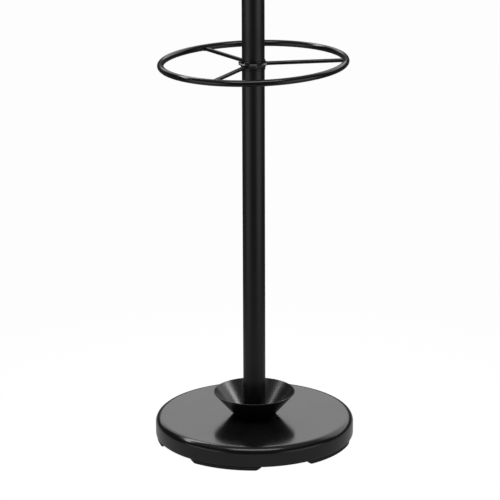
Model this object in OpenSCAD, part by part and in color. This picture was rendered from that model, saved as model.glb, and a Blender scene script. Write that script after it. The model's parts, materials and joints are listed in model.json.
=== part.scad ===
// Standing coat rack with an umbrella ring, a drip cup and a turning hook head.
// Millimetres, +Z up, origin on the floor at the centre of the base. The front is -Y.

/* [Base] */
// Diameter of the pressed base cover
base_d = 358; // [335:1:400]
// Height of the cover's top face above the floor
base_top = 42.5; // [38:0.5:60]
// Height of the rubber feet under the cover's edge
foot_h = 6; // [4:0.5:8]
// Radius of the cover's top edge
cover_edge_r = 12.5; // [8:0.5:15]
// Sheet thickness of the cover
cover_wall = 1.5; // [1:0.25:2.5]

/* [Drip cup] */
// Diameter of the cup over its rim bead
cup_rim_d = 147; // [120:1:180]
// Diameter of the cup's floor
cup_floor_d = 73; // [60:1:90]
// Height of the cup
cup_h = 43; // [30:1:60]
// Sheet thickness of the cup
cup_wall = 1.5; // [1:0.25:2]

/* [Post] */
// Outside diameter of the tubes
tube_d = 40; // [32:1:44]
// Wall thickness of the tubes
tube_wall = 1.5; // [1:0.25:2]
// Height of the first tube joint, which the umbrella ring's collar covers
joint_z = 692; // [600:1:760]
// Length of the middle tube and of the upper tube
upper_tube_l = 500; // [420:5:560]

/* [Umbrella ring] */
// Diameter of the ring, measured to the middle of its rod
ring_d = 324; // [280:2:340]
// Diameter of the ring's rod
ring_rod_d = 11.5; // [8:0.5:12.5]
// Diameter of the three spokes
spoke_d = 7; // [5:0.5:8]
// Lean of the welded ring and spokes off level, towards -X
ring_lean = 1.5; // [0:0.1:2]
// Direction of the first spoke, counter-clockwise from +X
spoke_turn = 2.5; // [0:0.5:10]
// Widest diameter of the collar
collar_d = 51.6; // [48:0.2:60]

/* [Hook head] */
// Height of the turning sleeve
sleeve_h = 104; // [100:1:120]
// Outside diameter of the sleeve
sleeve_d = 50; // [48:1:60]
// Diameter of the pegs' rod
peg_d = 10; // [8:0.5:12]
// Bend radius of the upper pegs
upper_bend = 118; // [100:1:130]
// Bend radius of the lower pegs
lower_bend = 38; // [34:1:42]
// Diameter of the upper pegs' ball tips
upper_tip_d = 28; // [24:1:32]
// Diameter of the lower pegs' ball tips
lower_tip_d = 24; // [20:1:28]

/* [Hidden] */
$fn = 96;

// Clearances and shared fastener sizes
fit = 0.05;            // radial clearance of a close fit
gap = 0.3;             // play between the head and what it turns on
eps = 0.01;            // overshoot of a cutting tool
thread_r = 6;          // M12 bolt and studs
thread_hole_r = thread_r + fit;
clear_hole_r = 6.6;

// Base
base_r = base_d / 2;
cover_inner_r = base_r - cover_wall;
curl_r = 3.5;          // rounding of the cover's lower edge
pan_z = foot_h + 0.5;  // underside of the pan
pan_t = 2.5;
pan_r = cover_inner_r - 0.3;
pan_lip_t = 3;
pan_lip_h = 8;
ballast_t = 9;         // the weight plate, right under the cover's top
ballast_top = base_top - cover_wall - 0.1;
ballast_z = ballast_top - ballast_t;
ballast_r = base_r - cover_edge_r - 3;
pan_hole_r = 20;       // way in for a spanner on the bolt's head
pan_boss_r = 6;
washer_t = 2.5;
bolt_head_h = 7.5;
bolt_head_across = 19;
foot_count = 5;
foot_span = 43.5;      // degrees that one foot covers
foot_middle = 252;     // direction of the first foot's middle
foot_outer_r = base_r - 2;
foot_inner_r = base_r - 25;
foot_ramp = 8;         // length of the slope at a foot's end
pan_screw_pcr = 112;
pan_screw_r = 2;
pan_screw_bite = 7;    // thread in the ballast
pan_screw_head_r = 4;

// Cup
cup_z = base_top;
cup_floor_r = cup_floor_d / 2;
cup_bead_r = 0.9;
cup_rim_r = cup_rim_d / 2 - cup_bead_r;
cup_rim_z = cup_z + cup_h - cup_bead_r;

// Post
tube_r = tube_d / 2;
tube_inner_r = tube_r - tube_wall;
plug_r = tube_inner_r - fit;
plug_l = 32;
post_foot_z = cup_z + cup_wall;
joint_2_z = joint_z + upper_tube_l;
post_top = joint_2_z + upper_tube_l;
stud_in = 28;          // length of a stud in each of its plugs

// Umbrella ring
ring_r = ring_d / 2;
ring_lift = 2;         // ring's middle above the spokes' plane
collar_z = joint_z - 1.5;  // the spokes' plane and the collar's rim
collar_bore_r = tube_r + fit;
collar_r = collar_d / 2;
collar_neck_r = collar_bore_r + 0.9;
spoke_start_r = collar_neck_r + 1;
collar_rise = 8;       // collar above its rim
collar_drop = 10;      // collar below its rim
rim_half = 1.3;        // half the thickness of the collar's rim
collar_screw_r = 2.4;
collar_screw_turn = spoke_turn + 35.5;
collar_screw_z = 0.2;
screw_proud = 1.6;

// Head
spigot_r = 12;
flange_t = 4;
thrust_t = 2;
sleeve_r = sleeve_d / 2;
sleeve_wall = 2;
sleeve_inner_r = sleeve_r - sleeve_wall;
sleeve_z = post_top + flange_t + thrust_t + gap;
bush_l = 22;
bush_rim = 2;
upper_bush_z = sleeve_z + sleeve_h - bush_l - 14;
spigot_top = upper_bush_z + bush_l + gap;
retaining_r = 16;
cap_rise = 9;          // height of the cap's dome
peg_r = peg_d / 2;
upper_angle = 66;      // arc of an upper peg, to the middle of its tip
upper_peg_z = sleeve_z + sleeve_h - 22;
lower_angle = 80;      // arc of a lower peg, to the middle of its tip
lower_peg_z = sleeve_z + 16;

module ring_of(outer, inner, h) {
    difference() {
        cylinder(r = outer, h = h);
        translate([0, 0, -eps]) cylinder(r = inner, h = h + 2 * eps);
    }
}

// Quarter disc in the corner of the first quadrant, centred on the origin
module quarter_disc(r) {
    intersection() {
        circle(r = r);
        square(r + eps);
    }
}

// Half section of a disc of radius r from z0 to z1 with a rounded top edge
module rounded_section(r, z0, z1, edge) {
    translate([0, z0]) square([r, z1 - z0 - edge]);
    translate([0, z1 - edge]) square([r - edge, edge]);
    translate([r - edge, z1 - edge]) quarter_disc(edge);
}

module base_cover() {
    color("#1b1b1c") rotate_extrude() difference() {
        rounded_section(base_r, foot_h, base_top, cover_edge_r);
        translate([-eps, 0]) rounded_section(cover_inner_r + eps, foot_h - eps,
            base_top - cover_wall, cover_edge_r - cover_wall);
        translate([-eps, 0]) square([clear_hole_r + eps, base_top + 1]);
        // rounded lower edge
        difference() {
            translate([base_r - curl_r, foot_h - eps]) square([curl_r + eps, curl_r + eps]);
            translate([base_r - curl_r, foot_h + curl_r]) circle(r = curl_r);
        }
    }
}

module base_ballast() {
    color("#8b8a85") difference() {
        translate([0, 0, ballast_z]) cylinder(r = ballast_r, h = ballast_t);
        translate([0, 0, ballast_z - 1]) cylinder(r = clear_hole_r, h = ballast_t + 2);
        pan_screw_ring() translate([0, 0, ballast_z - eps])
            cylinder(r = pan_screw_r + fit, h = pan_screw_bite + 0.5);
    }
}

module pan_screw_ring() {
    for (i = [0 : foot_count - 1])
        rotate(foot_middle + 180 / foot_count + i * 360 / foot_count)
            translate([pan_screw_pcr, 0, 0]) children();
}

module base_pan() {
    color("#151515") difference() {
        union() {
            translate([0, 0, pan_z]) ring_of(pan_r, pan_hole_r, pan_t);
            translate([0, 0, pan_z]) ring_of(pan_r, pan_r - pan_lip_t, pan_lip_h);
            pan_screw_ring() translate([0, 0, pan_z]) cylinder(r = pan_boss_r, h = ballast_z - pan_z);
        }
        pan_screw_ring() translate([0, 0, pan_z - 1])
            cylinder(r = pan_screw_r + 0.3, h = ballast_z - pan_z + 2);
    }
}

// One arc-shaped foot with a sloping end at each side
module foot(i) {
    slope = atan(foot_h / foot_ramp);
    color("#111111") rotate(foot_middle + i * 360 / foot_count) difference() {
        rotate(-foot_span / 2) rotate_extrude(angle = foot_span)
            translate([foot_inner_r, 0]) square([foot_outer_r - foot_inner_r, pan_z]);
        for (side = [-1, 1])
            rotate(side * foot_span / 2) mirror([0, side > 0 ? 0 : 1, 0])
                translate([foot_inner_r - 5, -foot_ramp, 0]) rotate([slope, 0, 0])
                    translate([0, -foot_ramp, -20]) cube([40, 40, 20]);
    }
}

module pan_screws() {
    color("#2a2a2b") pan_screw_ring() {
        translate([0, 0, pan_z - 2]) cylinder(r = pan_screw_head_r, h = 2);
        translate([0, 0, pan_z - eps]) cylinder(r = pan_screw_r, h = ballast_z - pan_z + pan_screw_bite);
    }
}

module base_bolt() {
    head_top = ballast_z - washer_t;
    color("#b9bcc0") {
        translate([0, 0, head_top - bolt_head_h])
            cylinder(d = bolt_head_across / cos(30), h = bolt_head_h, $fn = 6);
        translate([0, 0, head_top - eps]) cylinder(r = thread_r, h = post_foot_z + stud_in - head_top);
    }
}

module base_washer() {
    color("#b9bcc0") translate([0, 0, ballast_z - washer_t]) ring_of(16, thread_r + 0.4, washer_t);
}

module drip_cup() {
    color("#141415") rotate_extrude() {
        polygon([
            [clear_hole_r, cup_z], [cup_floor_r, cup_z], [cup_rim_r + cup_wall / 2, cup_rim_z],
            [cup_rim_r - cup_wall / 2, cup_rim_z], [cup_floor_r - cup_wall, cup_z + cup_wall],
            [clear_hole_r, cup_z + cup_wall]
        ]);
        translate([cup_rim_r, cup_rim_z]) circle(r = cup_bead_r);
    }
}

module tube(z0, z1) {
    color("#202021") translate([0, 0, z0]) ring_of(tube_r, tube_inner_r, z1 - z0);
}

module threaded_plug(z0) {
    color("#3a3a3c") translate([0, 0, z0]) ring_of(plug_r, thread_hole_r, plug_l);
}

module joint_stud(z) {
    color("#b9bcc0") translate([0, 0, z - stud_in]) cylinder(r = thread_r, h = 2 * stud_in);
}

// The welded ring and spokes lean a little about the collar's centre
module leaning() {
    translate([0, 0, collar_z]) rotate([0, -ring_lean, 0]) children();
}

module ring_rod(extra = 0) {
    translate([0, 0, ring_lift]) rotate_extrude()
        translate([ring_r, 0]) circle(r = ring_rod_d / 2 + extra);
}

module outer_ring() {
    color("#1c1c1d") leaning() ring_rod();
}

// Concave outline from the neck at height h to the rim in the spokes' plane
function flare(h, side) = [for (t = [0 : 18 : 90])
    [collar_neck_r + (collar_r - rim_half - collar_neck_r) * (1 - cos(t)), side * (h - (h - rim_half) * sin(t))]];

function reversed(list) = [for (i = [len(list) - 1 : -1 : 0]) list[i]];

// Two trumpet flares, back to back, that meet in a rounded rim
module collar_body() {
    rim = [for (a = [60 : -30 : -60]) [collar_r - rim_half + rim_half * cos(a), rim_half * sin(a)]];
    rotate_extrude() polygon(concat(
        [[collar_bore_r, -collar_drop], [collar_bore_r, collar_rise]],
        flare(collar_rise, 1), rim, reversed(flare(collar_drop, -1))
    ));
}

module spoke(i) {
    color("#1c1c1d") difference() {
        leaning() rotate(spoke_turn + i * 120) rotate([0, 90, 0])
            translate([0, 0, spoke_start_r]) cylinder(d = spoke_d, h = ring_r - spoke_start_r);
        leaning() ring_rod(0.01);
        translate([0, 0, collar_z]) collar_body();
    }
}

module collar_screw_ring() {
    for (i = [0 : 2])
        translate([0, 0, collar_z + collar_screw_z]) rotate(collar_screw_turn + i * 120)
            rotate([0, 90, 0]) children();
}

module ring_collar() {
    color("#1c1c1d") difference() {
        translate([0, 0, collar_z]) collar_body();
        collar_screw_ring() translate([0, 0, collar_bore_r - 1])
            cylinder(r = collar_screw_r + fit, h = collar_r);
    }
}

module collar_screws() {
    socket_r = 1.15;
    color("#5b5b5e") collar_screw_ring() difference() {
        translate([0, 0, collar_bore_r + fit])
            cylinder(r = collar_screw_r, h = collar_r + screw_proud - collar_bore_r - fit);
        translate([0, 0, collar_r + screw_proud - 1.8]) cylinder(r = socket_r, h = 2, $fn = 6);
    }
}

module head_spigot() {
    color("#b9bcc0") difference() {
        union() {
            translate([0, 0, post_top - plug_l]) cylinder(r = plug_r, h = plug_l + eps);
            translate([0, 0, post_top]) cylinder(r = tube_r, h = flange_t);
            translate([0, 0, post_top]) cylinder(r = spigot_r, h = spigot_top - post_top);
        }
        translate([0, 0, spigot_top - 20]) cylinder(r = 3 + fit, h = 20 + eps);
    }
}

module thrust_washer() {
    color("#d8d6cc") translate([0, 0, post_top + flange_t])
        ring_of(tube_r, spigot_r + fit, thrust_t);
}

module head_sleeve() {
    color("#1c1c1d") translate([0, 0, sleeve_z]) ring_of(sleeve_r, sleeve_inner_r, sleeve_h);
}

module bush(z) {
    color("#d8d6cc") translate([0, 0, z]) difference() {
        cylinder(r = sleeve_inner_r - fit, h = bush_l);
        translate([0, 0, -eps]) cylinder(r = spigot_r + fit, h = bush_l + 2 * eps);
        // lightening groove round the middle
        translate([0, 0, bush_rim * 2])
            ring_of(sleeve_inner_r + 1, sleeve_inner_r - 4, bush_l - bush_rim * 4);
    }
}

module retaining_washer() {
    color("#b9bcc0") translate([0, 0, spigot_top]) ring_of(retaining_r, 3.3, 2);
}

module retaining_screw() {
    color("#b9bcc0") difference() {
        union() {
            translate([0, 0, spigot_top + 2]) cylinder(r = 5.5, h = 4);
            translate([0, 0, spigot_top - 16]) cylinder(r = 3, h = 18 + eps);
        }
        translate([0, 0, spigot_top + 3.5]) cylinder(r = 2.3, h = 4, $fn = 6);
    }
}

// Domed cap with a skirt that plugs the sleeve
module head_cap() {
    cap_z = sleeve_z + sleeve_h;
    dome_r = (sleeve_r * sleeve_r + cap_rise * cap_rise) / (2 * cap_rise);
    color("#151515") translate([0, 0, cap_z]) {
        intersection() {
            translate([0, 0, cap_rise - dome_r]) sphere(r = dome_r);
            cylinder(r = sleeve_r, h = cap_rise + 1);
        }
        translate([0, 0, -6]) ring_of(sleeve_inner_r - fit, sleeve_inner_r - 2.5, 6 + eps);
    }
}

// A rod that leaves the origin along +X and curves up towards +Z
module rod_arc(bend, angle, r) {
    translate([0, 0, bend]) rotate([90, 0, 0]) rotate(-90)
        rotate_extrude(angle = angle) translate([bend, 0]) circle(r = r);
}

module on_sleeve(i, z) {
    rotate(i * 90) translate([sleeve_r - sleeve_wall / 2, 0, z]) children();
}

module peg(i, z, bend, angle) {
    color("#1c1c1d") difference() {
        on_sleeve(i, z) rod_arc(bend, angle, peg_r);
        translate([0, 0, z - 50]) cylinder(r = sleeve_r + 0.02, h = 100);
    }
}

// A ball moulded round the end of its peg
module peg_tip(i, z, bend, angle, d) {
    color("#121212") on_sleeve(i, z) difference() {
        translate([bend * sin(angle), 0, bend * (1 - cos(angle))]) sphere(d = d);
        rod_arc(bend, angle + 0.2, peg_r + fit);
    }
}

module upper_peg(i) { peg(i, upper_peg_z, upper_bend, upper_angle); }
module lower_peg(i) { peg(i, lower_peg_z, lower_bend, lower_angle); }
module upper_tip(i) { peg_tip(i, upper_peg_z, upper_bend, upper_angle, upper_tip_d); }
module lower_tip(i) { peg_tip(i, lower_peg_z, lower_bend, lower_angle, lower_tip_d); }

base_cover();
base_ballast();
base_pan();
for (i = [0 : foot_count - 1])
    foot(i);
pan_screws();
base_bolt();
base_washer();
drip_cup();
tube(post_foot_z, joint_z);  // lower_tube
tube(joint_z, joint_2_z);  // middle_tube
tube(joint_2_z, post_top);  // upper_tube
threaded_plug(post_foot_z);  // foot_plug
threaded_plug(joint_z - plug_l);  // joint_1_lower_plug
threaded_plug(joint_z);  // joint_1_upper_plug
joint_stud(joint_z);  // joint_1_stud
threaded_plug(joint_2_z - plug_l);  // joint_2_lower_plug
threaded_plug(joint_2_z);  // joint_2_upper_plug
joint_stud(joint_2_z);  // joint_2_stud
outer_ring();
for (i = [0 : 2])
    spoke(i);
ring_collar();
collar_screws();
head_spigot();
thrust_washer();
head_sleeve();
bush(sleeve_z);  // lower_bush
bush(upper_bush_z);  // upper_bush
retaining_washer();
retaining_screw();
head_cap();
for (i = [0 : 3]) {
    upper_peg(i);
    lower_peg(i);
    upper_tip(i);
    lower_tip(i);
}
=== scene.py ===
"""Looks of the standing coat rack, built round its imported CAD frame. Metres, +Z up, front is -Y."""
import json
import math
import bmesh
import bpy
from mathutils import Matrix, Vector


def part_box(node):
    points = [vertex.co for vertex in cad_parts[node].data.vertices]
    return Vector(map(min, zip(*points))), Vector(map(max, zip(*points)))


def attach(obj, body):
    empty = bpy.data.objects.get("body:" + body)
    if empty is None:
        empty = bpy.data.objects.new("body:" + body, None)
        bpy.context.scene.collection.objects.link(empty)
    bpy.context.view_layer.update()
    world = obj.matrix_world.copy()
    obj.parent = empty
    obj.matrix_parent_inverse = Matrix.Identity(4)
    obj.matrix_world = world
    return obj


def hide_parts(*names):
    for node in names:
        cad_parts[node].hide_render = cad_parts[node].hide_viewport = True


MM = 0.001

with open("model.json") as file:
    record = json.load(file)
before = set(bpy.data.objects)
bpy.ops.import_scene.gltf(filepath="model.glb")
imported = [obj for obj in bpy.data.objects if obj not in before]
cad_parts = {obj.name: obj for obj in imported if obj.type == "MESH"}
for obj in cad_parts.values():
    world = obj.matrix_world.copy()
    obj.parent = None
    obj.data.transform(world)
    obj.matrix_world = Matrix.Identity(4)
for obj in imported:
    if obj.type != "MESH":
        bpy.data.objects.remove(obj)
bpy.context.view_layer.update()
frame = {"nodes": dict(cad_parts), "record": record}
scene = bpy.context.scene


# ---------------------------------------------------------------- camera

CAMERA_PLACE = (0.0, -4.329, 1.652)
CAMERA_PITCH = 16.72      # degrees below the horizon
CAMERA_YAW = 0.092        # towards -X
CAMERA_ROLL = -0.218
CAMERA_LENS = 182.8       # mm on a sensor 36 mm wide
SENSOR = 36.0
CAMERA_RANGE = (0.1, 100.0)


def make_camera():
    data = bpy.data.cameras.new("camera")
    data.lens = CAMERA_LENS
    data.sensor_width = SENSOR
    data.clip_start, data.clip_end = CAMERA_RANGE
    camera = bpy.data.objects.new("camera", data)
    scene.collection.objects.link(camera)
    camera.location = CAMERA_PLACE
    yaw, pitch = math.radians(CAMERA_YAW), math.radians(CAMERA_PITCH)
    level = math.cos(pitch)
    aim = Vector((-math.sin(yaw) * level, math.cos(yaw) * level, -math.sin(pitch)))
    look = aim.to_track_quat("-Z", "Y").to_matrix().to_4x4()
    camera.rotation_euler = (look @ Matrix.Rotation(math.radians(CAMERA_ROLL), 4, "Z")).to_euler()
    scene.camera = camera


make_camera()


# ---------------------------------------------------------------- materials

class Nodes:
    """A short way to build a material's node tree."""

    def __init__(self, name):
        self.material = bpy.data.materials.new(name)
        self.material.use_nodes = True
        self.tree = self.material.node_tree
        self.tree.nodes.clear()
        self.output = self.add("ShaderNodeOutputMaterial")
        self.shader = self.add("ShaderNodeBsdfPrincipled")
        self.link(self.shader, "BSDF", self.output, "Surface")
        self.place = self.add("ShaderNodeTexCoord")

    def add(self, kind, **settings):
        node = self.tree.nodes.new(kind)
        for key, value in settings.items():
            setattr(node, key, value)
        return node

    def link(self, a, out, b, into):
        self.tree.links.new(a.outputs[out], b.inputs[into])

    def steady(self, **values):
        """Shader inputs that are the same all over the surface."""
        for key, value in values.items():
            self.shader.inputs[key.replace("_", " ")].default_value = value

    def stretched(self, stretch):
        mapping = self.add("ShaderNodeMapping")
        mapping.inputs["Scale"].default_value = stretch
        self.link(self.place, "Object", mapping, "Vector")
        return mapping

    def noise(self, size, detail=3.0, rough=0.55, stretch=None):
        """Noise with features about size metres across, longer along an axis where stretch is small."""
        node = self.add("ShaderNodeTexNoise")
        node.inputs["Scale"].default_value = 1.0 / size
        node.inputs["Detail"].default_value = detail
        node.inputs["Roughness"].default_value = rough
        if stretch:
            self.link(self.stretched(stretch), "Vector", node, "Vector")
        else:
            self.link(self.place, "Object", node, "Vector")
        return node

    def cells(self, size):
        """Voronoi cells about size metres across."""
        node = self.add("ShaderNodeTexVoronoi")
        node.inputs["Scale"].default_value = 1.0 / size
        self.link(self.place, "Object", node, "Vector")
        return node

    def spread(self, node, out, low, high, start=0.3, end=0.7):
        """node's output mapped from start..end to low..high."""
        ramp = self.add("ShaderNodeMapRange")
        ramp.inputs["From Min"].default_value = start
        ramp.inputs["From Max"].default_value = end
        ramp.inputs["To Min"].default_value = low
        ramp.inputs["To Max"].default_value = high
        self.link(node, out, ramp, "Value")
        return ramp

    def maths(self, operation, a, out_a, b, out_b="Result"):
        node = self.add("ShaderNodeMath", operation=operation)
        self.link(a, out_a, node, 0)
        if isinstance(b, (int, float)):
            node.inputs[1].default_value = b
        else:
            self.link(b, out_b, node, 1)
        return node

    def mix(self, factor, out, a, b):
        """A colour between a and b, each a colour or another mix."""
        node = self.add("ShaderNodeMix", data_type="RGBA")
        self.link(factor, out, node, "Factor")
        for socket, value in ((6, a), (7, b)):
            if isinstance(value, tuple):
                node.inputs[socket].default_value = (*value, 1)
            else:
                self.tree.links.new(value.outputs[2], node.inputs[socket])
        return node

    def colour(self, mix):
        self.tree.links.new(mix.outputs[2], self.shader.inputs["Base Color"])

    def bump(self, layers):
        """Bumps on bumps: each layer is (node, output, strength, depth in metres)."""
        last = None
        for node, out, strength, depth in layers:
            bump = self.add("ShaderNodeBump")
            bump.inputs["Strength"].default_value = strength
            bump.inputs["Distance"].default_value = depth
            self.link(node, out, bump, "Height")
            if last:
                self.link(last, "Normal", bump, "Normal")
            last = bump
        self.link(last, "Normal", self.shader, "Normal")


def scaled(colour, factor):
    return tuple(c * factor for c in colour)


DUST = (0.20, 0.19, 0.175)
DUST_AMOUNT = 0.02        # how far the dust on a coat covers its colour


def coat(name, colour, roughness, peel, peel_size):
    """A black coat: orange peel, slow gloss changes and specks of dust on what faces up."""
    n = Nodes(name)
    n.steady(IOR=1.5)
    patches = n.noise(60 * MM, 4.0)
    grain = n.noise(2.2 * MM, 5.0, 0.7)
    peel_waves = n.noise(peel_size, 2.0)
    fine_peel = n.noise(peel_size * 0.35, 3.0)
    tone = n.mix(n.spread(patches, "Fac", 0, 1), "Result", scaled(colour, 0.8), scaled(colour, 1.2))
    # dust settles on what faces up, as loose specks on a thin film
    normal = n.add("ShaderNodeNewGeometry")
    axes = n.add("ShaderNodeSeparateXYZ")
    n.link(normal, "Normal", axes, "Vector")
    up = n.spread(axes, "Z", 0, 1, 0.55, 1.0)
    specks = n.spread(n.noise(1.4 * MM, 4.0, 0.75), "Fac", 0, 1, 0.60, 0.82)
    film = n.spread(n.noise(35 * MM, 3.0), "Fac", 0.05, 0.4, 0.35, 0.75)
    loose = n.maths("MAXIMUM", specks, "Result", film)
    settled = n.maths("MULTIPLY", loose, "Value", up)
    amount = n.maths("MULTIPLY", settled, "Value", DUST_AMOUNT)
    n.colour(n.mix(amount, "Value", tone, DUST))
    slow = n.spread(patches, "Fac", roughness * 0.92, roughness * 1.08)
    quick = n.spread(grain, "Fac", -0.02, 0.02)
    n.link(n.maths("ADD", slow, "Result", quick), "Value", n.shader, "Roughness")
    n.bump([(peel_waves, "Fac", peel, 0.03 * MM), (fine_peel, "Fac", peel * 0.6, 0.01 * MM)])
    return n.material


def moulding(name, colour, roughness, texture, dust):
    """Moulded plastic: a fine spark-eroded texture and faint flow marks."""
    n = Nodes(name)
    n.steady(IOR=1.49)
    flow = n.noise(25 * MM, 3.0, 0.5, (1, 1, 0.25))
    dots = n.cells(0.6 * MM)
    specks = n.noise(1.1 * MM, 4.0, 0.8)
    tone = n.mix(n.spread(flow, "Fac", 0, 1), "Result", scaled(colour, 0.85), scaled(colour, 1.2))
    n.colour(n.mix(n.spread(specks, "Fac", 0, dust, 0.62, 0.85), "Result", tone, DUST))
    n.link(n.spread(flow, "Fac", roughness * 0.9, roughness * 1.12), "Result", n.shader, "Roughness")
    n.bump([(dots, "Distance", texture, 0.02 * MM), (specks, "Fac", texture * 0.5, 0.01 * MM)])
    return n.material


def rubber(name):
    """Moulded rubber: matt, slightly chalky where it is rubbed, with a pitted skin."""
    n = Nodes(name)
    n.steady(IOR=1.5, Specular_IOR_Level=0.35)
    bloom = n.noise(12 * MM, 5.0, 0.65)
    pits = n.cells(0.9 * MM)
    rubbed = n.spread(bloom, "Fac", 0, 1, 0.4, 0.8)
    n.colour(n.mix(rubbed, "Result", (0.012, 0.012, 0.012), (0.045, 0.044, 0.042)))
    n.link(n.spread(bloom, "Fac", 0.62, 0.85), "Result", n.shader, "Roughness")
    n.bump([(pits, "Distance", 0.5, 0.06 * MM), (n.noise(0.5 * MM, 4.0), "Fac", 0.4, 0.03 * MM)])
    return n.material


def cast_iron(name):
    """Rough grey casting with sand texture and a few brown spots."""
    n = Nodes(name)
    n.steady(IOR=2.2)
    lumps = n.noise(5 * MM, 6.0, 0.7)
    rust = n.noise(30 * MM, 6.0, 0.7)
    grey = n.mix(n.spread(lumps, "Fac", 0, 1), "Result", (0.07, 0.068, 0.066), (0.17, 0.165, 0.16))
    n.colour(n.mix(n.spread(rust, "Fac", 0, 0.7, 0.58, 0.72), "Result", grey, (0.16, 0.07, 0.03)))
    n.link(n.spread(lumps, "Fac", 0.55, 0.85), "Result", n.shader, "Roughness")
    n.bump([(lumps, "Fac", 0.8, 0.25 * MM), (n.noise(0.8 * MM, 4.0), "Fac", 0.6, 0.08 * MM)])
    return n.material


def zinc(name):
    """Bright zinc plate: bluish to straw patches and fine tool marks under the plating."""
    n = Nodes(name)
    n.steady(Metallic=1.0)
    tint = n.noise(9 * MM, 3.0)
    n.colour(n.mix(n.spread(tint, "Fac", 0, 1), "Result", (0.56, 0.60, 0.66), (0.68, 0.65, 0.55)))
    marks = n.noise(0.5 * MM, 3.0, 0.6, (0.15, 0.15, 2.0))
    n.link(n.spread(marks, "Fac", 0.24, 0.42), "Result", n.shader, "Roughness")
    n.bump([(marks, "Fac", 0.25, 0.01 * MM)])
    return n.material


def black_oxide(name):
    """Blackened steel: dark, oily, with a fine turned grain."""
    n = Nodes(name)
    n.steady(Metallic=0.85)
    oil = n.noise(3 * MM, 4.0)
    n.colour(n.mix(n.spread(oil, "Fac", 0, 1), "Result", (0.05, 0.05, 0.055), (0.14, 0.138, 0.135)))
    n.link(n.spread(oil, "Fac", 0.22, 0.4), "Result", n.shader, "Roughness")
    n.bump([(n.noise(0.35 * MM, 3.0), "Fac", 0.3, 0.01 * MM)])
    return n.material


def turned_aluminium(name):
    """Turned bar: fine rings along the axis and a soft sheen."""
    n = Nodes(name)
    n.steady(Metallic=1.0)
    rings = n.noise(0.35 * MM, 2.0, 0.5, (0.02, 0.02, 1.0))
    patches = n.noise(15 * MM, 3.0)
    n.colour(n.mix(n.spread(patches, "Fac", 0, 1), "Result", (0.60, 0.60, 0.61), (0.72, 0.72, 0.73)))
    n.link(n.spread(rings, "Fac", 0.26, 0.44), "Result", n.shader, "Roughness")
    n.bump([(rings, "Fac", 0.5, 0.02 * MM)])
    return n.material


def bearing_plastic(name):
    """Natural bearing plastic: waxy off-white with a soft glow inside."""
    n = Nodes(name)
    n.steady(IOR=1.48, Subsurface_Weight=0.15, Subsurface_Scale=0.004)
    cloud = n.noise(14 * MM, 3.0)
    n.colour(n.mix(n.spread(cloud, "Fac", 0, 1), "Result", (0.66, 0.64, 0.57), (0.78, 0.77, 0.71)))
    turning = n.noise(0.6 * MM, 2.0, 0.5, (0.05, 0.05, 1.0))
    n.link(n.spread(turning, "Fac", 0.36, 0.5), "Result", n.shader, "Roughness")
    n.bump([(turning, "Fac", 0.25, 0.02 * MM)])
    return n.material


BLACK = (0.006, 0.006, 0.0062)
# a coat takes a colour, its roughness, and its orange peel's strength and size;
# a moulding takes a colour, its roughness, its texture's strength and how dusty its specks are
paint = {
    "base_paint": coat("base_coat", BLACK, 0.16, 0.10, 2.2 * MM),
    "cup_paint": coat("cup_coat", BLACK, 0.27, 0.08, 1.8 * MM),
    "tube_paint": coat("tube_coat", BLACK, 0.36, 0.30, 1.1 * MM),
    "ring_paint": coat("ring_coat", BLACK, 0.15, 0.08, 1.0 * MM),
    "head_paint": coat("head_coat", BLACK, 0.34, 0.30, 1.1 * MM),
    "peg_paint": coat("peg_coat", BLACK, 0.28, 0.15, 1.0 * MM),
    "tip_plastic": moulding("tip_moulding", (0.008, 0.008, 0.008), 0.2, 0.12, 0.03),
    "pan_plastic": moulding("pan_moulding", (0.018, 0.018, 0.018), 0.5, 0.6, 0.08),
    "foot_rubber": rubber("foot_rubber"),
    "ballast_iron": cast_iron("ballast_iron"),
    "zinc_steel": zinc("zinc_plate"),
    "black_screw": black_oxide("black_oxide"),
    "plug_aluminium": turned_aluminium("turned_aluminium"),
    "bearing_plastic": bearing_plastic("bearing_plastic"),
}
slot_of = {row["node"]: row["material_slot"] for row in frame["record"]["subparts"]}
for node, obj in frame["nodes"].items():
    obj.data.materials.clear()
    obj.data.materials.append(paint[slot_of[node]])


# ---------------------------------------------------------------- shapes

TURN = 2 * math.pi
ROUND = 192               # steps round the base, the cup and the ring
SMALL = 64                # steps round the post and smaller pieces
SCREW_STEPS = 36          # steps round a screw, a multiple of six
ROD_SIDES = 32            # steps round a bent rod
ARC_STEP = math.radians(9)    # longest step along a rounded corner
SHARP = math.radians(38)      # edges that turn more than this look sharp
ON_AXIS = 1e-7                # a smaller radius counts as 0


class Shape:
    """Vertices and faces gathered before they become one piece."""

    def __init__(self, verts, faces):
        self.verts = [Vector(v) for v in verts]
        self.faces = faces

    def placed(self, matrix):
        return Shape([matrix @ v for v in self.verts], self.faces)

    def __add__(self, other):
        shift = len(self.verts)
        faces = [[i + shift for i in face] for face in other.faces]
        return Shape(self.verts + other.verts, self.faces + faces)


def skinned(loops, closed=False):
    """A skin over loops of equally many points, which ends in two flat faces or closes on itself."""
    size = len(loops[0])
    last = (len(loops) - 1) * size
    starts = [i * size for i in range(len(loops))]
    pairs = list(zip(starts, starts[1:]))
    if closed:
        pairs.append((last, 0))
    faces = []
    for a, b in pairs:
        for k in range(size):
            m = (k + 1) % size
            faces.append([a + k, a + m, b + m, b + k])
    if not closed:
        faces += [list(range(size))[::-1], list(range(last, last + size))]
    return Shape([v for loop in loops for v in loop], faces)


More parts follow.
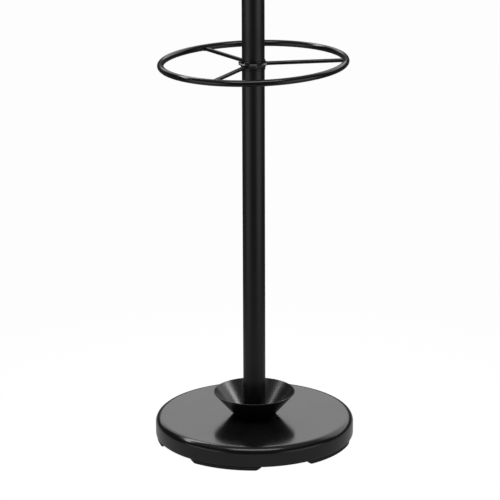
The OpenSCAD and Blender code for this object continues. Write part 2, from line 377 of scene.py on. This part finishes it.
def rounded(corners):
    """The points of a closed outline whose corners (x, y, radius) are rounded by arcs."""
    points = []
    for i, (x, y, radius) in enumerate(corners):
        here = Vector((x, y))
        if radius <= 0:
            points.append(tuple(here))
            continue
        before = (Vector(corners[i - 1][:2]) - here).normalized()
        after = (Vector(corners[(i + 1) % len(corners)][:2]) - here).normalized()
        half = before.angle(after) / 2
        centre = here + (before + after).normalized() * radius / math.sin(half)
        start = here + before * radius / math.tan(half) - centre
        end = here + after * radius / math.tan(half) - centre
        first = math.atan2(start.y, start.x)
        turn = (math.atan2(end.y, end.x) - first + math.pi) % TURN - math.pi
        steps = max(3, math.ceil(abs(turn) / ARC_STEP))
        points += [(centre.x + radius * math.cos(first + turn * k / steps),
                    centre.y + radius * math.sin(first + turn * k / steps)) for k in range(steps + 1)]
    return points


def ngon_reach(angle, sides):
    """How far out an N-gon's edge is at an angle, for corners at a distance of 1."""
    sector = TURN / sides
    return math.cos(sector / 2) / math.cos(angle % sector - sector / 2)


def revolve(profile, steps=ROUND):
    """A profile of (radius, height) points turned about Z. A third number makes that ring an N-gon.

    A profile that starts and ends on the axis stays open there; any other closes on itself."""
    verts, faces, rings = [], [], []
    for r, z, *sides in profile:
        if r < ON_AXIS:
            rings.append([len(verts)] * steps)
            verts.append((0, 0, z))
            continue
        rings.append(list(range(len(verts), len(verts) + steps)))
        for k in range(steps):
            angle = TURN * k / steps
            reach = r * (ngon_reach(angle, sides[0]) if sides else 1)
            verts.append((reach * math.cos(angle), reach * math.sin(angle), z))
    on_axis = profile[0][0] < ON_AXIS and profile[-1][0] < ON_AXIS
    for i in range(len(profile) - on_axis):
        a, b = rings[i], rings[(i + 1) % len(profile)]
        for k in range(steps):
            m = (k + 1) % steps
            face = list(dict.fromkeys((a[k], a[m], b[m], b[k])))
            if len(face) > 2:
                faces.append(face)
    return Shape(verts, faces)


def swept(points, radius, across):
    """A round rod through points that lie in one plane, whose normal is across."""
    loops = []
    turns = [TURN * k / ROD_SIDES for k in range(ROD_SIDES)]
    for i, point in enumerate(points):
        ahead = (points[min(i + 1, len(points) - 1)] - points[max(i - 1, 0)]).normalized()
        beside = across.cross(ahead)
        loops.append([point + radius * (math.cos(t) * beside + math.sin(t) * across) for t in turns])
    return skinned(loops)


def piece(name, shape, body, slot, *nodes):
    """One visible object made of a shape, which stands for the CAD nodes named last."""
    mesh = bpy.data.meshes.new(name)
    mesh.from_pydata(shape.verts, [], shape.faces)
    work = bmesh.new()
    work.from_mesh(mesh)
    bmesh.ops.recalc_face_normals(work, faces=work.faces)
    work.to_mesh(mesh)
    work.free()
    mesh.shade_smooth()
    mesh.set_sharp_from_angle(angle=SHARP)
    obj = bpy.data.objects.new(name, mesh)
    scene.collection.objects.link(obj)
    mesh.materials.append(paint[slot])
    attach(obj, body)
    if nodes:
        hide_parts(*nodes)
    return obj


def turned(angle):
    return Matrix.Rotation(math.radians(angle), 4, "Z")


def lifted(z):
    return Matrix.Translation((0, 0, z))


POINT_OUT = Matrix.Rotation(math.pi / 2, 4, "Y")   # turns +Z to +X


# ---------------------------------------------------------------- base

WALL = 1.5 * MM           # thickness of the cover, the cup and the tubes
BOLT_HOLE_R = 7 * MM
COVER_EDGE_R = 12.5 * MM  # the cover's rounded shoulder
HEM_R = 3.5 * MM          # the cover's rolled lower edge
TOP_RINGS = (140 * MM, 100 * MM, 50 * MM)  # circles that split the cover's flat top
FOOT_COUNT = 5
FOOT_SPAN = 43.5          # degrees
FOOT_MIDDLE = 252         # direction of the first foot
FOOT_RAMP = 8 * MM

cover_low, cover_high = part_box("base_cover")
BASE_R = cover_high[0]
BASE_TOP = cover_high[2]
COVER_FOOT = cover_low[2]


def make_cover():
    """Pressed sheet: flat top, a big rounded shoulder and a lower edge that is rolled in."""
    top_rings = [BASE_R - COVER_EDGE_R - 0.5 * MM, *TOP_RINGS, BOLT_HOLE_R + 0.5 * MM]
    outline = rounded([
        (BASE_R - HEM_R, COVER_FOOT, 0),
        (BASE_R, COVER_FOOT, HEM_R * 0.999),    # so that the arc ends short of the point before
        (BASE_R, BASE_TOP, COVER_EDGE_R),
    ] + [(r, BASE_TOP, 0) for r in top_rings] + [
        (BOLT_HOLE_R, BASE_TOP, 0),
        (BOLT_HOLE_R, BASE_TOP - WALL, 0),
        (BASE_R - WALL, BASE_TOP - WALL, COVER_EDGE_R - WALL),
        (BASE_R - WALL, COVER_FOOT + WALL, HEM_R - WALL),
        (BASE_R - HEM_R, COVER_FOOT + WALL, 0),
    ])
    piece("base_shell", revolve(outline), "stand", "base_paint", "base_cover")


RIB_COUNT = 30
RIB_HALF = 1.1 * MM       # half the width of a radial rib
RIB_DROP = 2.0 * MM       # how far the round ribs hang below the pan
RIB_EDGE = 0.6 * MM       # rounding of their edges
RIB_CIRCLES = (92 * MM, 148 * MM)    # their inner radii
RIB_WIDTH = 2.2 * MM
PAN_HOLE_R = 20 * MM
PAN_WALL = 2.5 * MM
SCREW_COUNT = 5
SCREW_CIRCLE = 112 * MM
FIRST_SCREW = FOOT_MIDDLE + 180 / FOOT_COUNT    # degrees, halfway between two feet


def bar(x0, x1, half, z0, z1, chamfer):
    """A bar along +X whose lower edges are chamfered."""
    section = [(-half, z1), (-half, z0 + chamfer), (-half + chamfer, z0),
               (half - chamfer, z0), (half, z0 + chamfer), (half, z1)]
    return skinned([[(x, y, z) for y, z in section] for x in (x0, x1)])


def screw_spot(i):
    """Where a pan screw's axis stands."""
    return turned(FIRST_SCREW + i * 360 / SCREW_COUNT) @ Matrix.Translation((SCREW_CIRCLE, 0, 0))


def make_pan():
    """Moulded pan with a central way in, two round ribs, radial ribs and a boss at each screw."""
    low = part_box("base_pan")[0][2]
    outer = BASE_R - HEM_R - 0.3 * MM
    hole_rim = PAN_HOLE_R + 2.4 * MM
    foot = low - RIB_DROP
    outline = [(PAN_HOLE_R, foot, RIB_EDGE), (hole_rim, foot, RIB_EDGE), (hole_rim, low, 0)]
    for r in RIB_CIRCLES:
        end = r + RIB_WIDTH
        outline += [(r, low, 0), (r, foot, RIB_EDGE), (end, foot, RIB_EDGE), (end, low, 0)]
    outline += [(outer, low, 0.4 * MM), (outer, low + PAN_WALL, 0), (PAN_HOLE_R, low + PAN_WALL, 0)]
    shape = revolve(rounded(outline))
    sunk = low + 0.5 * MM      # where radial ribs and bosses end inside the pan
    inner_end, outer_end = PAN_HOLE_R + 2 * MM, RIB_CIRCLES[-1] + 1 * MM
    rib = bar(inner_end, outer_end, RIB_HALF, low - RIB_DROP * 0.8, sunk, chamfer=0.5 * MM)
    spacing = 360 / RIB_COUNT
    for i in range(RIB_COUNT):
        shape = shape + rib.placed(turned(FIRST_SCREW + spacing / 2 + i * spacing))
    boss_in, boss_out, boss_foot = 4.6 * MM, 8.5 * MM, low - 2.6 * MM
    boss = revolve(rounded([
        (boss_in, boss_foot, 0.5 * MM), (boss_out, boss_foot, 0.8 * MM),
        (boss_out, sunk, 0), (boss_in, sunk, 0),
    ]), SMALL)
    for i in range(SCREW_COUNT):
        shape = shape + boss.placed(screw_spot(i))
    piece("pan_moulding", shape, "stand", "pan_plastic", "base_pan")


def socket_screw(head_r, head_h, shank_r, shank_l, socket_r, socket_deep, dome):
    """A screw that points down from its head's face at 0: dome, hexagon socket and shank."""
    edge = head_r * 0.82   # the dome's flatter middle ends here
    return revolve([
        (0, -socket_deep), (socket_r * 0.98, -socket_deep, 6), (socket_r, -0.15 * MM, 6),
        (socket_r * 1.12, 0), (edge, -dome * 0.3), (head_r * 0.95, -dome * 0.7), (head_r, -dome - 0.2 * MM),
        (head_r, -head_h), (shank_r, -head_h), (shank_r, -head_h - shank_l + 0.5 * MM),
        (shank_r * 0.75, -head_h - shank_l), (0, -head_h - shank_l),
    ], SCREW_STEPS)


def make_pan_screws():
    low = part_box("pan_screws")[0][2]
    head_down = lifted(low) @ Matrix.Rotation(math.pi, 4, "X")
    screw = socket_screw(head_r=4 * MM, head_h=2 * MM, shank_r=2 * MM, shank_l=30 * MM,
                         socket_r=1.5 * MM, socket_deep=1.2 * MM, dome=0.9 * MM)
    for i in range(SCREW_COUNT):
        nodes = ["pan_screws"] if i == 0 else []
        piece(f"pan_screw_{i + 1}", screw.placed(screw_spot(i) @ head_down), "stand", "black_screw", *nodes)


FOOT_STEPS = 16           # steps along the level part of a foot
RAMP_FOOT = 1.15          # where a foot's slope runs out, in lengths of its ramp


def foot_section(inner, outer):
    """Section of a foot as (radius, drop from 0 at the top to 1 at the floor)."""
    groove = 0.82          # drop at the bottom of a groove
    side = [(outer, 0), (outer, 0.75), (outer - 0.5 * MM, 0.93), (outer - 1.5 * MM, 1)]
    ribs = []
    for k in range(3):
        middle = outer + (inner - outer) * (k + 1) / 4
        ribs += [(middle + 1.5 * MM, 1), (middle + 1.1 * MM, groove), (middle - 1.1 * MM, groove),
                 (middle - 1.5 * MM, 1)]
    return side + ribs + [(inner + 1.5 * MM, 1), (inner + 0.5 * MM, 0.93), (inner, 0.75), (inner, 0)]


def make_feet():
    """Rubber pads that follow the rim, with sloping ends and three grooves underneath."""
    outer, inner = BASE_R - 2 * MM, BASE_R - 25 * MM
    ramp = math.degrees(FOOT_RAMP / ((outer + inner) / 2))
    half = FOOT_SPAN / 2
    # a slope is (way along it in ramps, share of the full depth); a station has degrees from the middle
    slope = [(0, 0.12), (0.1, 0.24), (0.55, 0.66), (0.85, 0.93), (RAMP_FOOT, 1)]
    stations = [(-half + ramp * way, depth) for way, depth in slope]
    level = FOOT_SPAN - ramp * 2 * RAMP_FOOT
    middle = [(-half + ramp * RAMP_FOOT + k * level / FOOT_STEPS, 1) for k in range(1, FOOT_STEPS)]
    stations = stations + middle + [(-a, k) for a, k in reversed(stations)]
    section = foot_section(inner, outer)
    for i in range(FOOT_COUNT):
        name = f"foot_{i + 1}"
        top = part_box(name)[1][2]
        loops = []
        for angle, depth in stations:
            a = math.radians(FOOT_MIDDLE + i * 360 / FOOT_COUNT + angle)
            x, y = math.cos(a), math.sin(a)
            loops.append([(r * x, r * y, top * (1 - drop * depth)) for r, drop in section])
        piece(f"rubber_foot_{i + 1}", skinned(loops), "stand", "foot_rubber", name)


def make_base_fixings():
    """The bolt, head down, with a shallow hollow in its chamfered hexagon head, and its washer."""
    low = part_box("base_bolt")[0][2]
    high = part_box("base_bolt")[1][2]
    across = 9.5 * MM      # half the width across flats
    hex_r = across / math.cos(math.pi / 6)
    head = 7.5 * MM
    bolt = revolve([
        (0, low + 0.3 * MM), (6.5 * MM, low + 0.3 * MM), (7 * MM, low), (across * 0.97, low),
        (hex_r, low + 1.1 * MM, 6), (hex_r, low + head, 6), (6 * MM, low + head), (6 * MM, high - 1 * MM),
        (5 * MM, high), (0, high),
    ], SCREW_STEPS)
    piece("hex_bolt", bolt, "stand", "zinc_steel", "base_bolt")
    w_low, w_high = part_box("base_washer")
    washer = revolve(rounded([
        (6.4 * MM, w_low[2], 0.2 * MM), (16 * MM, w_low[2], 0.5 * MM), (16 * MM, w_high[2], 0.2 * MM),
        (6.4 * MM, w_high[2], 0.2 * MM),
    ]), SMALL)
    piece("flat_washer", washer, "stand", "zinc_steel", "base_washer")


CUP_FLOOR_R = 36.5 * MM
CUP_LIP_R = 0.8 * MM


def make_cup():
    """Spun cup: flat floor, straight flared wall and a thin, rounded rim."""
    low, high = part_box("drip_cup")
    rim_r, floor_z, rim_z = high[0], low[2], high[2]
    tip_r = rim_r + 0.9 * MM          # where the wall and the rim's top would meet if they were sharp
    outline = rounded([
        (BOLT_HOLE_R, floor_z, 0),
        (CUP_FLOOR_R, floor_z, 1.6 * MM),
        (tip_r, rim_z, CUP_LIP_R),
        (tip_r - 2.1 * MM, rim_z, 0.3 * MM),
        (CUP_FLOOR_R - 0.6 * MM, floor_z + WALL, 3 * MM),
        (BOLT_HOLE_R, floor_z + WALL, 0),
    ])
    return piece("spun_cup", revolve(outline), "stand", "cup_paint", "drip_cup")


make_cover()
make_pan()
make_pan_screws()
make_feet()
make_base_fixings()
cup = make_cup()


# ---------------------------------------------------------------- post

def make_tubes():
    """Round tubes with broken edges, so that each joint shows as a fine line."""
    for name in ("lower_tube", "middle_tube", "upper_tube"):
        low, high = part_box(name)
        r = high[0]
        outline = rounded([
            (r - WALL, low[2], 0.2 * MM), (r, low[2], 0.5 * MM),
            (r, high[2], 0.5 * MM), (r - WALL, high[2], 0.2 * MM),
        ])
        piece(f"post_{name}", revolve(outline, SMALL * 2), "stand", "tube_paint", name)


make_tubes()


# ---------------------------------------------------------------- umbrella ring

RING_LEAN = 1.5           # degrees, its left side down
SPOKE_TURN = 2.5          # direction of the first spoke
SPOKE_COUNT = 3
SPOKE_STEPS = 40          # steps round a spoke
ROD_R = 5.75 * MM
SPOKE_R = 3.5 * MM
RING_LIFT = 2 * MM        # ring's middle above the spokes' plane
RING_WELD = 0.004         # how far the ring's weld swells, as a share of the rod
RING_WELD_WIDTH = 4 * MM
COLLAR_NECK = 0.9 * MM    # wall of the collar's ends
COLLAR_RISE = 8 * MM      # collar above its rim
RIM_HALF = 1.3 * MM       # half the thickness of its rim
SLIDE_FIT = 0.05 * MM     # gap between collar and post
COLLAR_SCREW_COUNT = 3
COLLAR_SCREW_TURN = SPOKE_TURN + 35.5
SCREW_PROUD = 1.6 * MM    # how far the collar's screws stand out of its rim

post_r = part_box("lower_tube")[1][0]
collar_low, collar_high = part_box("ring_collar")
collar_r = collar_high[0]
collar_z = collar_high[2] - COLLAR_RISE
ring_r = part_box("outer_ring")[1][1] - ROD_R
bore_r = post_r + SLIDE_FIT
lean = lifted(collar_z) @ Matrix.Rotation(math.radians(-RING_LEAN), 4, "Y")


def make_ring():
    """The rod is bent round and butt-welded; the weld is dressed to a low swelling at the back."""
    weld_at = math.radians(SPOKE_TURN + 180 / SPOKE_COUNT)    # halfway between two spokes
    loops = []
    for k in range(ROUND):
        angle = TURN * k / ROUND
        away = ((angle - weld_at + math.pi) % TURN - math.pi) * ring_r
        radius = ROD_R * (1 - RING_WELD + RING_WELD * math.exp(-(away / RING_WELD_WIDTH) ** 2))
        loops.append([])
        for j in range(ROD_SIDES):
            turn = TURN * j / ROD_SIDES
            r = ring_r + radius * math.cos(turn)
            loops[-1].append((r * math.cos(angle), r * math.sin(angle), radius * math.sin(turn)))
    ring = skinned(loops, closed=True).placed(lean @ lifted(RING_LIFT))
    piece("bent_ring", ring, "umbrella_ring", "ring_paint", "outer_ring")


def make_collar():
    """Two trumpet flares that meet in a thin rim, with a rounded edge at each end."""
    rise, drop = COLLAR_RISE, collar_z - collar_low[2]
    neck = bore_r + COLLAR_NECK
    width = collar_r - RIM_HALF - neck
    turns = [math.radians(t) for t in range(0, 91, 6)]
    upper = [(neck + width * (1 - math.cos(t)), rise - (rise - RIM_HALF) * math.sin(t)) for t in turns]
    lower = [(neck + width * (1 - math.cos(t)), (drop - RIM_HALF) * math.sin(t) - drop) for t in turns]
    round_rim = [math.radians(a) for a in range(75, -76, -15)]
    rim = [(collar_r - RIM_HALF + RIM_HALF * math.cos(a), RIM_HALF * math.sin(a)) for a in round_rim]
    lip = 0.35 * MM
    outline = [(bore_r, -drop + lip), (bore_r, rise - lip), (bore_r + lip, rise), (neck - lip, rise)]
    outline += upper[1:] + rim + lower[:0:-1]
    outline += [(neck - lip, -drop), (bore_r + lip, -drop)]
    collar = revolve(outline, SMALL * 2).placed(lifted(collar_z))
    piece("flared_collar", collar, "umbrella_ring", "ring_paint", "ring_collar")


def fillet(end, radius, length, way):
    """Points of a rod's outline that widens to radius at its end, over a length along way."""
    turns = [math.radians(t) for t in range(0, 91, 10)]
    return [(SPOKE_R + (radius - SPOKE_R) * (1 - math.sin(t)), end + way * length * (1 - math.cos(t)))
            for t in turns]


def make_spokes():
    """Straight rods with a smooth weld fillet into the collar and another into the ring."""
    start, end = bore_r + 1.2 * MM, ring_r - 1.5 * MM
    root = fillet(start, 4.4 * MM, 6 * MM, 1)
    foot = fillet(end, 4.6 * MM, 5 * MM, -1)
    spoke = revolve([(0, start)] + root + foot[::-1] + [(0, end)], SPOKE_STEPS).placed(POINT_OUT)
    for i in range(SPOKE_COUNT):
        place = lean @ turned(SPOKE_TURN + i * 360 / SPOKE_COUNT)
        piece(f"welded_spoke_{i + 1}", spoke.placed(place), "umbrella_ring", "ring_paint", f"spoke_{i + 1}")


def make_collar_screws():
    screw = socket_screw(head_r=2.4 * MM, head_h=2.5 * MM, shank_r=2.2 * MM, shank_l=2.5 * MM,
                         socket_r=1.25 * MM, socket_deep=1.6 * MM, dome=0.5 * MM)
    low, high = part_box("collar_screws")
    level = (low[2] + high[2]) / 2
    outward = Matrix.Translation((collar_r + SCREW_PROUD, 0, 0)) @ POINT_OUT
    for i in range(COLLAR_SCREW_COUNT):
        around = turned(COLLAR_SCREW_TURN + i * 360 / COLLAR_SCREW_COUNT)
        shape = screw.placed(lifted(level) @ around @ outward)
        nodes = ["collar_screws"] if i == 0 else []
        piece(f"collar_screw_{i + 1}", shape, "umbrella_ring", "black_screw", *nodes)


make_ring()
make_collar()
make_spokes()
make_collar_screws()


# ---------------------------------------------------------------- hook head

# each kind of peg: the radius and the degrees it is bent through, and its ball
UPPER_BEND, UPPER_ANGLE, UPPER_BALL_R = 118 * MM, 66, 14 * MM
LOWER_BEND, LOWER_ANGLE, LOWER_BALL_R = 38 * MM, 80, 12 * MM
PEG_R = 5 * MM
PEG_COUNT = 4
PEG_STEPS = 28            # steps along a peg
SLEEVE_WALL = 2 * MM
DOME_STEPS = 18
CAP_SKIRT = 6 * MM        # how far the cap reaches into the sleeve
BALL_STEPS, BALL_SIDES = 36, 56
PARTING_LINE = 0.1 * MM   # height of a ball's parting line
PARTING_WIDTH = 1.6       # its half width in degrees
BEAD_R = 1.25 * MM
BEAD_RIPPLES, RIPPLE_DEPTH = 18, 0.12
BEAD_STEPS, BEAD_SIDES = 72, 12

sleeve_low, sleeve_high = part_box("head_sleeve")
SLEEVE_R = sleeve_high[0]
PEG_START = SLEEVE_R - SLEEVE_WALL / 2


def make_sleeve_and_cap():
    """The sleeve that holds the pegs, and a low dome with a fine groove where it meets the sleeve."""
    outline = rounded([
        (SLEEVE_R - SLEEVE_WALL, sleeve_low[2], 0.3 * MM), (SLEEVE_R, sleeve_low[2], 0.8 * MM),
        (SLEEVE_R, sleeve_high[2], 0.6 * MM), (SLEEVE_R - SLEEVE_WALL, sleeve_high[2], 0.3 * MM),
    ])
    piece("peg_sleeve", revolve(outline, SMALL * 2), "hook_head", "head_paint", "head_sleeve")
    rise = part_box("head_cap")[1][2] - sleeve_high[2]
    skirt = SLEEVE_R - SLEEVE_WALL - SLIDE_FIT
    dome_r = (SLEEVE_R ** 2 + rise ** 2) / (2 * rise)
    half = math.asin((SLEEVE_R - 1.2 * MM) / dome_r)
    z0 = sleeve_high[2]
    turns = [half * k / DOME_STEPS for k in range(DOME_STEPS + 1)]
    dome = [(dome_r * math.sin(t), z0 + rise - dome_r * (1 - math.cos(t))) for t in turns]
    edge = [(SLEEVE_R - 0.5 * MM, z0 + 0.9 * MM), (SLEEVE_R - 0.1 * MM, z0 + 0.55 * MM),
            (SLEEVE_R - 0.25 * MM, z0 + 0.15 * MM), (SLEEVE_R - 0.6 * MM, z0)]
    inside = [(skirt, z0), (skirt, z0 - CAP_SKIRT), (skirt - 2 * MM, z0 - CAP_SKIRT),
              (skirt - 2 * MM, z0 - 0.5 * MM), (0, z0 - 0.5 * MM)]
    piece("domed_cap", revolve(dome + edge + inside, SMALL * 2), "hook_head", "tip_plastic", "head_cap")


def arc_point(bend, angle):
    """A point on a peg's middle line, with the line's start at the origin."""
    a = math.radians(angle)
    return Vector((bend * math.sin(a), 0, bend * (1 - math.cos(a))))


def ball(radius):
    """A ball tip along +Z with a neck at its foot and a faint parting line round its middle."""
    neck_r, neck_end = 7.0 * MM, -radius - 1.2 * MM
    lowest = math.degrees(math.asin(neck_r / radius))
    profile = []
    for k in range(BALL_STEPS + 1):
        t = math.radians((180 - lowest) * k / BALL_STEPS)
        from_middle = math.degrees(t) - 90
        r = radius - PARTING_LINE + PARTING_LINE * math.exp(-(from_middle / PARTING_WIDTH) ** 2)
        profile.append((r * math.sin(t), r * math.cos(t)))
    profile += [(neck_r * 0.97, neck_end + 0.6 * MM), (neck_r * 0.9, neck_end), (PEG_R * 0.9, neck_end),
                (0, neck_end)]
    return revolve(profile, BALL_SIDES)


def weld_bead(z):
    """A rippled weld between a peg and the round face of the sleeve."""
    loops = []
    for k in range(BEAD_STEPS):
        angle = TURN * k / BEAD_STEPS
        size = BEAD_R * (1 + RIPPLE_DEPTH * math.sin(BEAD_RIPPLES * angle))
        loops.append([])
        for j in range(BEAD_SIDES):
            turn = TURN * j / BEAD_SIDES
            out = PEG_R + 0.4 * MM + size * math.cos(turn)
            y, up = out * math.cos(angle), out * math.sin(angle)
            x = math.sqrt(SLEEVE_R ** 2 - y ** 2) + 0.1 * MM + size * math.sin(turn)
            loops[-1].append((x, y, z + up))
    return skinned(loops, closed=True)


def make_pegs(kind, bend, angle, z, ball_r):
    """Four bent rods with their welds and ball tips."""
    start, stop = 1.0, angle - math.degrees(ball_r * 0.5 / bend)    # a rod ends inside its ball
    points = [arc_point(bend, start + (stop - start) * k / PEG_STEPS) for k in range(PEG_STEPS + 1)]
    root = Vector((PEG_START, 0, z))
    rod = swept(points, PEG_R, Vector((0, 1, 0))).placed(Matrix.Translation(root))
    tip_spot = Matrix.Translation(root + arc_point(bend, angle))
    tip = ball(ball_r).placed(tip_spot @ Matrix.Rotation(math.radians(90 - angle), 4, "Y"))
    bead = weld_bead(z)
    for i in range(PEG_COUNT):
        place = turned(i * 90)
        piece(f"{kind}_rod_{i + 1}", rod.placed(place), "hook_head", "peg_paint", f"{kind}_peg_{i + 1}")
        piece(f"{kind}_weld_{i + 1}", bead.placed(place), "hook_head", "peg_paint")
        piece(f"{kind}_ball_{i + 1}", tip.placed(place), "hook_head", "tip_plastic", f"{kind}_tip_{i + 1}")


make_sleeve_and_cap()
upper_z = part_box("upper_peg_1")[0][2] + PEG_R
lower_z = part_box("lower_peg_1")[0][2] + PEG_R
make_pegs("upper", UPPER_BEND, UPPER_ANGLE, upper_z, UPPER_BALL_R)
make_pegs("lower", LOWER_BEND, LOWER_ANGLE, lower_z, LOWER_BALL_R)


# ---------------------------------------------------------------- stage

FLOOR_SIZE = 40.0
FLOOR_GREY = 0.06
FLOOR_WHITE = 1.05        # what the camera sees of the floor
WHITE_SHARE = 0.93        # how much of that view is plain white, without shadows
NEAR_GLOW = 0.34          # what the black coat reflects of the floor close to the base
FAR_GLOW = 0.05
SIDE_GLOW = 1.0           # the two bright sides, low at the left and right of the front
BACK_WALL = 1.35          # bright wall behind
HORIZON_GLOW = 0.06
CEILING_GLOW = 0.35
SKY_WHITE = 1.0           # what the camera sees of the world

# where the floor's two glows end and are full, in metres from the post
NEAR_REACH = (0.9, 0.3)
FAR_REACH = (0.25, 2.4)
# where the world's glows end and are full, as the height of a direction from 0 level to 1 upright
WALL_FOOT, WALL_HEAD = (0.24, 0.32), (0.80, 0.66)
SIDE_HEAD = (0.32, 0.14)
CEILING_FOOT = (0.55, 0.95)

# where the bright areas are: middle and half width in degrees, counted from the back (or from
# the front for the two sides) towards +X
WALL_SPAN = (18, 52)
LEFT_SPAN = (-58, 22)
RIGHT_SPAN = (56, 24)
EDGE = 11                 # softness of their edges, in degrees


class Glow:
    """Soft patches of light laid out by direction, in a world's or the floor's node tree."""

    def __init__(self, tree, direction):
        self.tree = tree
        self.axes = tree.nodes.new("ShaderNodeSeparateXYZ")
        tree.links.new(direction, self.axes.inputs[0])
        self.from_back = self.maths("ARCTAN2", self.axes.outputs["X"], self.axes.outputs["Y"])
        turned_y = self.maths("MULTIPLY", self.axes.outputs["Y"], -1)
        self.from_front = self.maths("ARCTAN2", self.axes.outputs["X"], turned_y)

    def maths(self, operation, *values):
        node = self.tree.nodes.new("ShaderNodeMath")
        node.operation = operation
        for socket, value in enumerate(values):
            if isinstance(value, (int, float)):
                node.inputs[socket].default_value = value
            else:
                self.tree.links.new(value, node.inputs[socket])
        return node.outputs[0]

    def ramp(self, value, start, end, low=0.0, high=1.0):
        node = self.tree.nodes.new("ShaderNodeMapRange")
        node.interpolation_type = "SMOOTHSTEP"
        for key, setting in (("From Min", start), ("From Max", end), ("To Min", low), ("To Max", high)):
            node.inputs[key].default_value = setting
        self.tree.links.new(value, node.inputs["Value"])
        return node.outputs[0]

    def fan(self, bearing, middle, half):
        """1 round middle, fading over the soft edge that lies half away from it, all in degrees."""
        off = self.maths("ABSOLUTE", self.maths("SUBTRACT", bearing, math.radians(middle)))
        return self.ramp(off, math.radians(half + EDGE), math.radians(half - EDGE))

    def two_sides(self):
        return self.total(self.fan(self.from_front, *LEFT_SPAN), self.fan(self.from_front, *RIGHT_SPAN))

    def total(self, *values):
        result = values[0]
        for value in values[1:]:
            result = self.maths("ADD", result, value)
        return result


def make_floor():
    """White to the camera; dark in reflections, but for the base's surroundings and the far sides."""
    mesh = bpy.data.meshes.new("floor")
    h = FLOOR_SIZE / 2
    mesh.from_pydata([(-h, -h, 0), (h, -h, 0), (h, h, 0), (-h, h, 0)], [], [(0, 1, 2, 3)])
    floor = bpy.data.objects.new("floor", mesh)
    scene.collection.objects.link(floor)
    n = Nodes("floor_paper")
    n.steady(Roughness=0.9, Specular_IOR_Level=0.0)
    n.shader.inputs["Base Color"].default_value = (FLOOR_GREY, FLOOR_GREY, FLOOR_GREY, 1)
    glow = Glow(n.tree, n.place.outputs["Object"])
    away = n.add("ShaderNodeVectorMath", operation="LENGTH")
    n.link(n.place, "Object", away, 0)
    near = glow.ramp(away.outputs["Value"], *NEAR_REACH, FAR_GLOW, NEAR_GLOW)
    far = glow.ramp(away.outputs["Value"], *FAR_REACH)
    lit = glow.maths("MULTIPLY", glow.two_sides(), glow.maths("MULTIPLY", far, SIDE_GLOW))
    paper = n.add("ShaderNodeEmission")
    n.tree.links.new(glow.maths("ADD", lit, near), paper.inputs["Strength"])
    both = n.add("ShaderNodeAddShader")
    n.link(n.shader, "BSDF", both, 0)
    n.link(paper, "Emission", both, 1)
    white = n.add("ShaderNodeEmission")
    white.inputs["Strength"].default_value = FLOOR_WHITE
    path = n.add("ShaderNodeLightPath")
    share = n.add("ShaderNodeMath", operation="MULTIPLY")
    share.inputs[1].default_value = WHITE_SHARE
    n.link(path, "Is Camera Ray", share, 0)
    mix = n.add("ShaderNodeMixShader")
    n.link(share, "Value", mix, 0)
    n.link(both, "Shader", mix, 1)
    n.link(white, "Emission", mix, 2)
    n.link(mix, "Shader", n.output, "Surface")
    mesh.materials.append(n.material)


def make_world():
    """White to the camera; in reflections a dark studio with a wall behind and two bright sides."""
    world = bpy.data.worlds.new("studio")
    scene.world = world
    world.use_nodes = True
    t = world.node_tree
    t.nodes.clear()
    out = t.nodes.new("ShaderNodeOutputWorld")
    background = t.nodes.new("ShaderNodeBackground")
    place = t.nodes.new("ShaderNodeTexCoord")
    glow = Glow(t, place.outputs["Generated"])
    height = glow.axes.outputs["Z"]
    upright = glow.maths("MULTIPLY", glow.ramp(height, *WALL_FOOT), glow.ramp(height, *WALL_HEAD))
    wall = glow.maths("MULTIPLY", glow.fan(glow.from_back, *WALL_SPAN), upright)
    sides = glow.maths("MULTIPLY", glow.two_sides(), glow.ramp(height, *SIDE_HEAD))
    seen = glow.total(glow.maths("MULTIPLY", wall, BACK_WALL),
                      glow.maths("MULTIPLY", sides, SIDE_GLOW),
                      glow.ramp(height, *CEILING_FOOT, HORIZON_GLOW, CEILING_GLOW))
    path = t.nodes.new("ShaderNodeLightPath")
    shown = t.nodes.new("ShaderNodeMix")
    t.links.new(path.outputs["Is Camera Ray"], shown.inputs[0])
    t.links.new(seen, shown.inputs[2])
    shown.inputs[3].default_value = SKY_WHITE
    t.links.new(shown.outputs[0], background.inputs["Strength"])
    background.inputs["Color"].default_value = (1, 1, 1, 1)
    t.links.new(background.outputs[0], out.inputs[0])


def softbox(name, middle, along, width, depth, radiance, tilt=0, only=None):
    """A soft light that faces down, or is tilted from that, with its width along a level direction.

    It lights one piece only if that is given."""
    data = bpy.data.lights.new(name, "AREA")
    data.shape = "RECTANGLE"
    data.size, data.size_y = width, depth
    data.energy = 4 * width * depth * radiance    # grows with the area, so it looks as bright
    light = bpy.data.objects.new(name, data)
    scene.collection.objects.link(light)
    light.location = middle
    light.rotation_euler = (math.radians(tilt), 0, math.radians(along))
    light.visible_camera = False
    if only:
        group = bpy.data.collections.new(f"lit_by_{name}")
        group.objects.link(only)
        light.light_linking.receiver_collection = group


make_floor()
make_world()
softbox("left_bar", (-2.04, 0.95, 2.5), along=30.5, width=3.2, depth=0.5, radiance=5.5)
softbox("front_bar", (0, -1.1, 2.5), along=0, width=1.9, depth=0.9, radiance=3.3)
softbox("cup_light", (1.92, 0.57, 1.74), along=106.6, width=0.55, depth=0.5, radiance=9.0,
        tilt=51, only=cup)
scene.view_settings.view_transform = "Standard"
